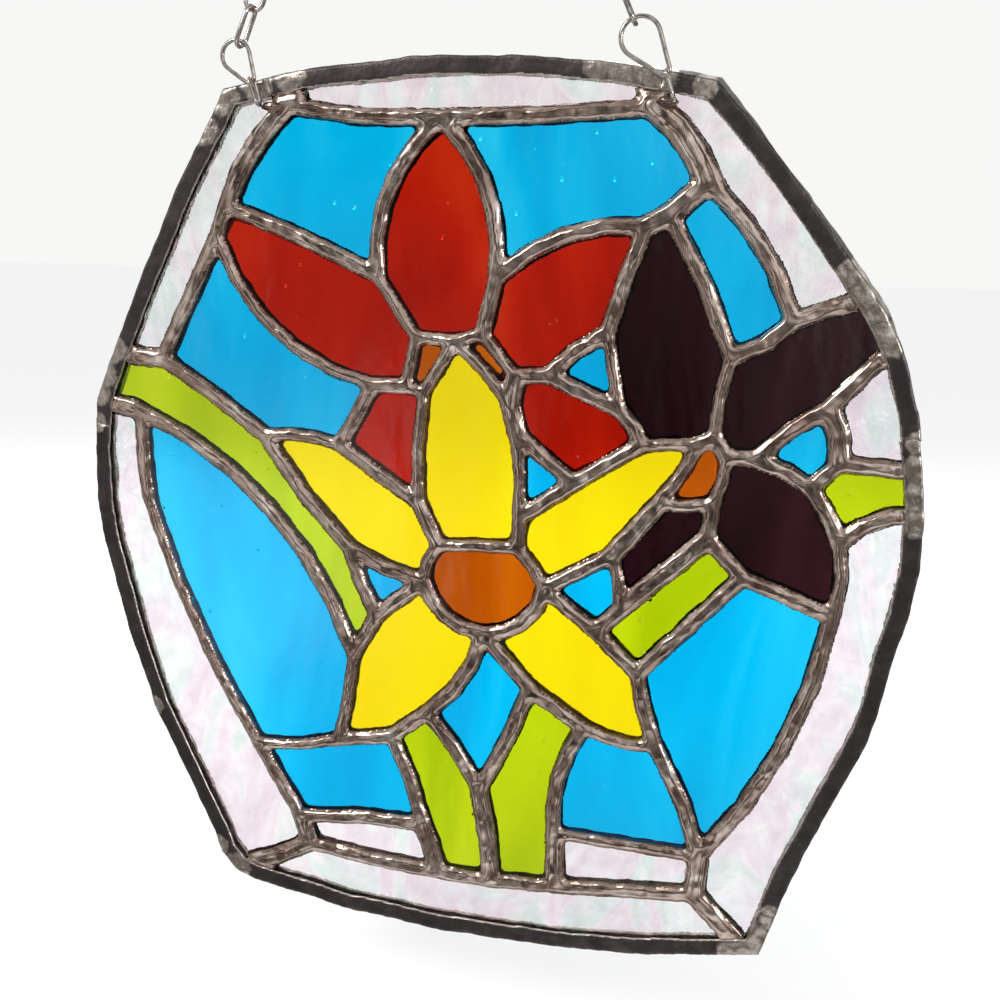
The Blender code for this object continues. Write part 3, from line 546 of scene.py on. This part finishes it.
def came_piece(name, seed):
    """A came strip worked by hand: rounded arrises, uneven faces, tinned patches, and painted light on the
    faces turned to the glass.
    """
    work = world_mesh(name)
    mesh = bpy.data.meshes.new(name + "_core")
    work.to_mesh(mesh)
    work.free()
    core = bpy.data.objects.new(name + "_core", mesh)
    bpy.context.scene.collection.objects.link(core)
    remesh = core.modifiers.new("voxels", "REMESH")
    remesh.mode = "VOXEL"
    remesh.voxel_size = CAME_VOXEL
    dense = bpy.data.meshes.new_from_object(core.evaluated_get(bpy.context.evaluated_depsgraph_get()))
    bpy.data.objects.remove(core)
    work = bmesh.new()
    work.from_mesh(dense)
    work.verts.ensure_lookup_table()
    before = np.array([v.co for v in work.verts])
    joined = before.copy()
    for (x, z), (way_x, way_z) in JOINS:
        run = (before[:, 0] - x) * way_x + (before[:, 2] - z) * way_z
        near = (np.hypot(before[:, 0] - x, before[:, 2] - z) < JOIN_REACH) & (np.abs(run) < JOIN_RUN)
        shift = -np.sign(run) * JOIN_SHIFT * (1.0 - np.abs(run) / JOIN_RUN) * near
        joined[:, 0] += shift * way_x
        joined[:, 2] += shift * way_z
    for _ in range(3):
        bmesh.ops.smooth_vert(
            work, verts=work.verts, factor=0.5, use_axis_x=True, use_axis_y=True, use_axis_z=True)
    after = np.array([v.co for v in work.verts])
    smoothed = after - before
    after += joined - before
    arris = np.clip(np.linalg.norm(smoothed, axis=1) / 0.22, 0.0, 1.0)
    swing = wander(after, 14.0, seed, 3) * 0.45 + wander(after, 4.0, seed + 1, 3) * 0.22
    tin_and_painted_light = np.zeros(len(after))
    for (x, z), reach in TIN:
        gap = np.hypot(after[:, 0] - x, after[:, 2] - z) / reach
        tin_and_painted_light = np.maximum(tin_and_painted_light, np.clip(1.25 - gap, 0.0, 1.0))
    lumps = tin_and_painted_light * (0.22 + 0.2 * wander(after, 2.4, seed + 2))
    normals = np.array([v.normal for v in work.verts])
    outward = (normals[:, 0] * after[:, 0] + normals[:, 2] * after[:, 2]) / np.hypot(after[:, 0], after[:, 2])
    # The faces turned to the glass are painted silvery with the tin tone, as painted light over their shade
    painted_light_faces = ((normals[:, 1] < -0.6) & (after[:, 1] > 0.8)) | (outward < -0.45)
    tin_and_painted_light = np.maximum(tin_and_painted_light, painted_light_faces * 0.9)
    after[:, 0] += swing[:, 0]
    after[:, 2] += swing[:, 2]
    after[:, 1] += swing[:, 1] * 0.35 + np.sign(after[:, 1]) * lumps * (np.abs(after[:, 1]) > 2.0)
    after[:, 1] = np.clip(after[:, 1], -CAME_HALF_DEPTH, CAME_HALF_DEPTH)
    tin_and_light_layer = work.verts.layers.float.new("tin_and_painted_light")
    arris_layer = work.verts.layers.float.new("arris")
    work.verts.ensure_lookup_table()
    for vert, place, tin_and_light, rubbed in zip(work.verts, to_frame(after), tin_and_painted_light, arris):
        vert.co = place
        vert[tin_and_light_layer] = float(tin_and_light)
        vert[arris_layer] = float(rubbed)
    piece = bpy.data.meshes.new(name + "_worked")
    work.to_mesh(piece)
    work.free()
    return link(bpy.data.objects.new(name + "_worked", piece), CAME, "lead_came", name)


for count, came_name in enumerate(sorted(n for n in NODES if n.startswith("came_"))):
    came_piece(came_name, 60 + count * 7)


# Wires
def wire_piece(name, loops, wire, nodes):
    """Closed loops of round wire as one piece; each loop is a list of row frame points in metres."""
    work = bmesh.new()
    sides = 12
    radius = wire / 2 * MM
    for loop in loops:
        count = len(loop)
        rings = []
        normal = (loop[1] - loop[0]).cross(loop[count // 3] - loop[0]).normalized()
        for index, here in enumerate(loop):
            way = (loop[(index + 1) % count] - loop[index - 1]).normalized()
            out = way.cross(normal).normalized()
            ring = []
            for step in range(sides):
                angle = 2 * math.pi * step / sides
                way_out = out * math.cos(angle) + normal * math.sin(angle)
                ring.append(work.verts.new(here + way_out * radius))
            rings.append(ring)
        for index in range(count):
            near, far = rings[index], rings[(index + 1) % count]
            for step in range(sides):
                after = (step + 1) % sides
                work.faces.new((near[step], near[after], far[after], far[step]))
    bmesh.ops.recalc_face_normals(work, faces=work.faces)
    mesh = bpy.data.meshes.new(name)
    work.to_mesh(mesh)
    work.free()
    return link(bpy.data.objects.new(name, mesh), WIRE, "steel_wire", *nodes)


def oblong(centre, along, across, length, width, count=36, wobble=0.0):
    """A smooth oblong loop: two straight sides and two round ends."""
    radius, straight = width / 2, (length - width) / 2
    points = []
    for step in range(count):
        angle = 2 * math.pi * (step + 0.5) / count
        run = math.copysign(straight, math.cos(angle)) + radius * math.cos(angle)
        reach = radius * math.sin(angle) * (1.0 + wobble * math.sin(2 * angle + 1.0))
        points.append(centre + along * run * MM + across * reach * MM)
    return points


def teardrop(centre, tip_way, wide, narrow, reach):
    """A loop of two arcs, wide and narrow, joined by their straight tangents."""
    lean = math.acos((wide - narrow) / reach)
    start = math.atan2(tip_way.z, tip_way.x)
    spots = [(centre, wide, start + lean + (2 * math.pi - 2 * lean) * k / 26) for k in range(27)]
    tip = centre + tip_way * reach * MM
    spots += [(tip, narrow, start - lean + 2 * lean * k / 9) for k in range(10)]
    return [c + Vector((math.cos(a), 0.0, math.sin(a))) * r * MM for c, r, a in spots]


def middle_of(name):
    """The middle of a CAD node's box."""
    low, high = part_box(name)
    return (Vector(low) + Vector(high)) / 2


UP, SIDE, AHEAD = Vector((0, 0, 1)), Vector((1, 0, 0)), Vector((0, 1, 0))
HOOK_RING_WIRE, HOOK_RING_MEAN = 1.8, 14.2
RING_WIRE, RING_NARROW = 1.2, 1.5
EYE_WIRE, EYE_MEAN_LENGTH, EYE_MEAN_WIDTH = 1.0, 7.6, 3.6
HOOK = Vector((0.0, 0.0, -6.2)) * MM
hook_loop = oblong(HOOK, UP, SIDE, HOOK_RING_MEAN, HOOK_RING_MEAN, 64)
wire_piece("hook_ring", [hook_loop], HOOK_RING_WIRE, ["top_ring"])
# Each small ring: its wide end's middle, the way to its narrow end, its wide radius and its reach
RINGS = {
    "left": (Vector((-51.52, -5.4, -138.47)) * MM, Vector((0.55, 0, -0.83)).normalized(), 4.1, 7.0),
    "right": (Vector((60.40, -5.4, -135.77)) * MM, Vector((0.62, 0, -0.78)).normalized(), 5.1, 10.0),
}
EYE_LONG = Vector((-0.30, 0.0, 0.95)).normalized()
LINK_LENGTH, LINK_WIDTH, LINK_WIRE, LINK_COUNT, LINK_OVERLAP = 13.0, 6.6, 1.3, 13, 0.25
# Half a link's length between the middles of its wire, and the step from link to link
END = (LINK_LENGTH - LINK_WIDTH) / 2 + (LINK_WIDTH - LINK_WIRE) / 2 * math.cos(math.pi / 8)
PITCH = 2 * END - LINK_WIRE + LINK_OVERLAP
for side_name, (centre, tip_way, wide, reach) in RINGS.items():
    ring_loop = teardrop(centre, tip_way, wide, RING_NARROW, reach)
    wire_piece("ring_" + side_name, [ring_loop], RING_WIRE, ["small_ring_" + side_name])
    eye_at = middle_of("wire_eye_" + side_name)
    eye_loop = oblong(eye_at, EYE_LONG, AHEAD, EYE_MEAN_LENGTH, EYE_MEAN_WIDTH, 40)
    wire_piece("eye_" + side_name, [eye_loop], EYE_WIRE, ["wire_eye_" + side_name])
    way = (HOOK - centre).normalized()
    low_end = centre + way * (wide - 0.6) * MM
    high_end = HOOK - way * 6.2 * MM
    middle = (low_end + high_end) / 2
    across = Vector((way.z, 0.0, -way.x))
    loops = []
    for index in range(LINK_COUNT):
        spot = middle + way * (index - (LINK_COUNT - 1) / 2) * PITCH * MM
        turned = AHEAD if index % 2 == 0 else across
        loops.append(oblong(spot, way, turned, 2 * END, LINK_WIDTH - LINK_WIRE, 36, 0.03))
    wire_piece("chain_links_" + side_name, loops, LINK_WIRE, ["chain_" + side_name])


def solder_foot(name, spot, reach, seed):
    """A lump of solder that holds an eye's foot to the nearest bead."""
    work = bmesh.new()
    bmesh.ops.create_icosphere(work, subdivisions=4, radius=1.0)
    for vert in work.verts:
        lump = 1.0 + 0.16 * noise.noise(vert.co * 1.7 + Vector((seed, 0, 0)))
        place = [spot[axis] + vert.co[axis] * reach[axis] * lump for axis in range(3)]
        vert.co = Vector(to_frame([place])[0])
    mesh = bpy.data.meshes.new(name)
    work.to_mesh(mesh)
    work.free()
    link(bpy.data.objects.new(name, mesh), SOLDER, "solder")


solder_foot("solder_foot_left", (-61.3, -2.9, 114.6), (3.0, 1.9, 1.3), 2.0)
solder_foot("solder_foot_right", (48.6, -2.9, 115.2), (2.8, 1.9, 1.4), 5.0)


# Studio
def stage_plane(name, size, height, tone):
    """A plain matt floor, left out of the metal's reflections."""
    work = bmesh.new()
    bmesh.ops.create_grid(work, x_segments=1, y_segments=1, size=size)
    mesh = bpy.data.meshes.new(name)
    work.to_mesh(mesh)
    work.free()
    obj = bpy.data.objects.new(name, mesh)
    obj.location.z = height
    bpy.context.scene.collection.objects.link(obj)
    finish, tree, shader = material(name + "_finish")
    shader.inputs["Base Color"].default_value = (*linear(tone), 1.0)
    shader.inputs["Roughness"].default_value = 1.0
    shader.inputs["Specular IOR Level"].default_value = 0.0
    mesh.materials.append(finish)
    obj.visible_glossy = False


def soft_light(name, place, aim, power, size, tone="#FFFFFF"):
    """A square soft box turned to face a point."""
    lamp = bpy.data.lights.new(name, "AREA")
    lamp.energy = power
    lamp.size = size
    lamp.color = linear(tone)
    obj = bpy.data.objects.new(name, lamp)
    obj.location = place
    obj.rotation_euler = (Vector(aim) - Vector(place)).to_track_quat("-Z", "Y").to_euler()
    bpy.context.scene.collection.objects.link(obj)


stage_plane("floor", 30.0, -0.430, "#FBFBFD")
CENTRE = (0.0191, 0.0, -0.266)
soft_light("key", (-0.55, -0.75, 0.35), CENTRE, 3.2, 0.30, "#FFFDF8")
soft_light("side", (0.95, -0.45, -0.05), CENTRE, 2.0, 0.22, "#FFFFFF")
soft_light("rear", (-0.25, 0.9, 0.35), CENTRE, 2.6, 0.5, "#FFFFFF")

# A pale room: plain to the camera and through the glass, with dark and bright parts for the metal
world = bpy.data.worlds.new("studio")
bpy.context.scene.world = world
world.use_nodes = True
sky = world.node_tree
background = sky.nodes["Background"]
path = add(sky, "ShaderNodeLightPath")
bounce = maths(sky, "MULTIPLY", path.outputs["Is Reflection Ray"], path.outputs["Is Glossy Ray"])
way = add(sky, "ShaderNodeTexCoord").outputs["Generated"]
room = add(sky, "ShaderNodeTexNoise", Vector=way, Scale=1.9, Detail=2.0, Roughness=0.5).outputs["Fac"]
room = ramp(sky, room, [(0.34, "#33312F"), (0.45, "#86807A"), (0.53, "#D2CDC7"), (0.58, "#FFFFFF")])
sky.links.new(mix(sky, bounce, "#F7F7F6", room), background.inputs["Color"])
background.inputs["Strength"].default_value = 1.0

# The photograph's own viewpoint: how far round, how far up and how level, in degrees
YAW, TILT, ROLL = math.radians(14.0), math.radians(11.0), math.radians(1.5)
back = Vector((math.sin(YAW) * math.cos(TILT), -math.cos(YAW) * math.cos(TILT), math.sin(TILT)))
right = Vector((math.cos(YAW), math.sin(YAW), 0.0))
upward = back.cross(right)
turned_right = right * math.cos(ROLL) + upward * math.sin(ROLL)
turned_up = upward * math.cos(ROLL) - right * math.sin(ROLL)
# The point of the panel that is aimed at, in mm, and the distance to it in metres
AIM_X, AIM_Z, DISTANCE = 6.4, 7.5, 0.3408
aim = Vector((AIM_X + PANEL_X, 0.0, AIM_Z + PANEL_Z)) * MM
lens = bpy.data.cameras.new("camera")
lens.sensor_width = 36.0
lens.lens = 36.0 * 1200 / 1000
lens.clip_start = 0.01
camera = bpy.data.objects.new("camera", lens)
turned = Matrix((turned_right, turned_up, back)).transposed().to_4x4()
camera.matrix_world = Matrix.Translation(aim + back * DISTANCE) @ turned
bpy.context.scene.collection.objects.link(camera)
bpy.context.scene.camera = camera
bpy.context.scene.view_settings.view_transform = "Standard"
